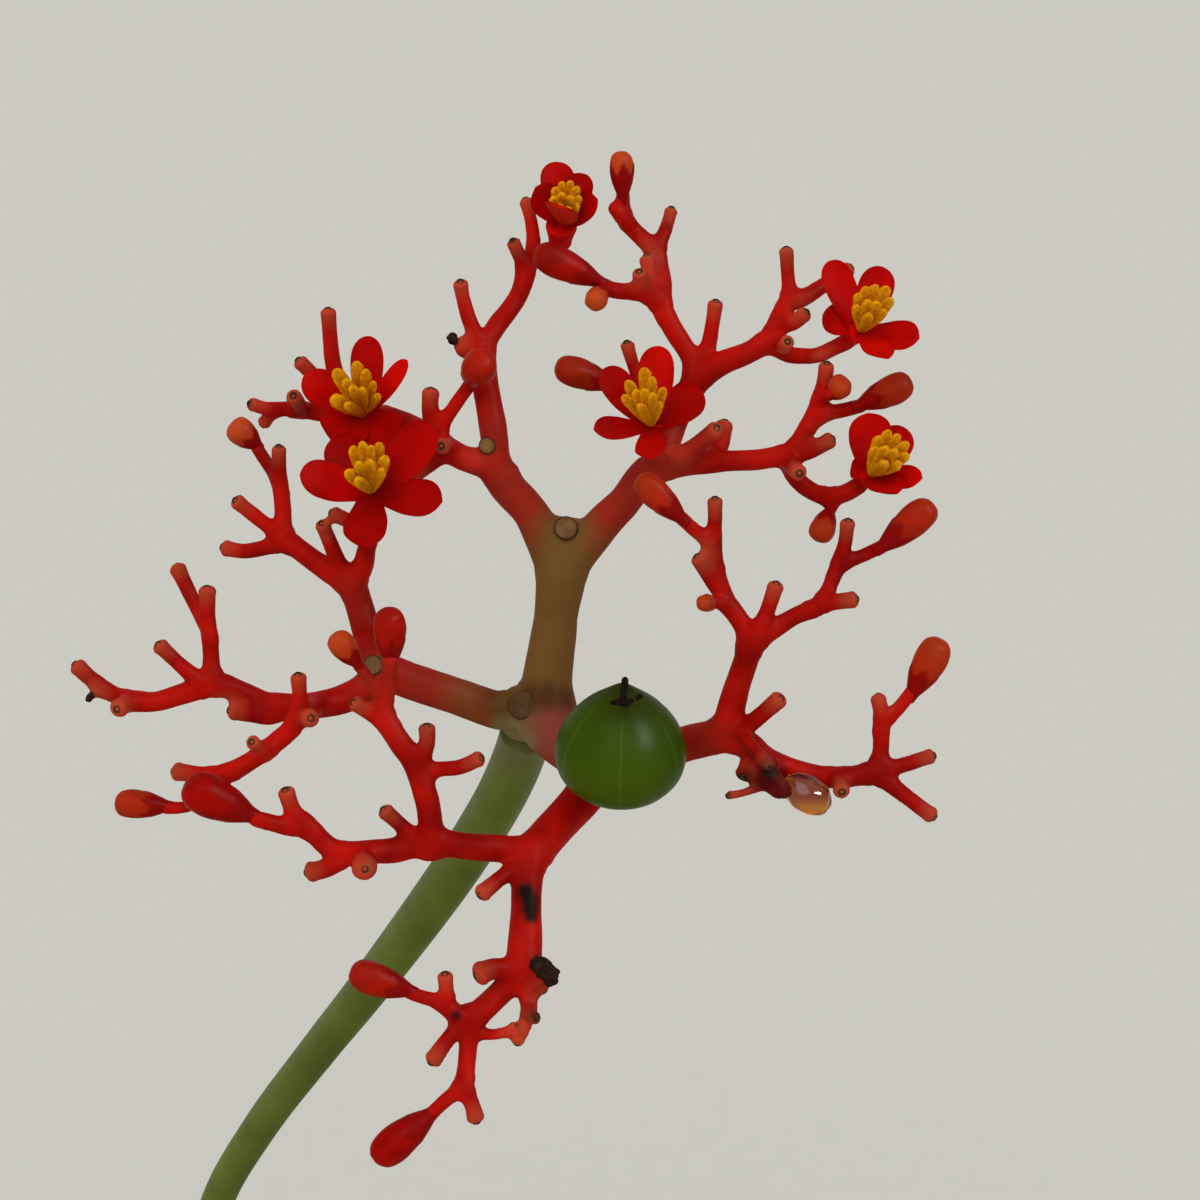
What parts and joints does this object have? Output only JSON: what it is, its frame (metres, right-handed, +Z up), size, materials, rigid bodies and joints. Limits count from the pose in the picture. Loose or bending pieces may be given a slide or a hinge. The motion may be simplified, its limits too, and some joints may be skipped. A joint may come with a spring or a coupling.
{
  "type": "potted succulent in flower",
  "caption": "Bottle-stemmed succulent in a round clay pot, with broad lobed leaves and a tall green stalk carrying a branching coral-red flower head and a green fruit.",
  "frame": {"origin": "middle of the pot's flat foot", "axes": "+Z up the swollen stem, -Y to the side that the flower head leans and faces, +X to the right seen from there"},
  "size_m": [0.3326, 0.2378, 0.5374],
  "materials": {
    "clay": "unglazed fired clay, dull and porous",
    "soil": "dark crumbly potting soil with grit",
    "bark": "grey-brown bark, corky, with leaf scars",
    "leaf": "smooth green leaf, satin, paler veins",
    "stalk": "smooth green stalk, satin",
    "coral": "waxy coral red, darker tips, satin",
    "petal": "deep scarlet, velvety",
    "anther": "orange yellow, powdery",
    "fruit": "glossy olive green skin",
    "withered": "dark brown, dry",
    "sap": "clear amber resin, glossy"
  },
  "bodies": {
    "root": {"pot": "clay", "soil": "soil", "stem": "bark", "leaf_1": "leaf", "leaf_2": "leaf", "leaf_3": "leaf", "leaf_4": "leaf", "leaf_5": "leaf", "leaf_6": "leaf", "flower_stalk": "stalk", "coral_head": "coral", "flower_1": "petal", "anthers_1": "anther", "flower_2": "petal", "anthers_2": "anther", "flower_3": "petal", "anthers_3": "anther", "flower_4": "petal", "anthers_4": "anther", "flower_5": "petal", "anthers_5": "anther", "flower_6": "petal", "anthers_6": "anther", "fruit": "fruit", "style": "withered", "sap_drop": "sap"}
  },
  "joints": []
}
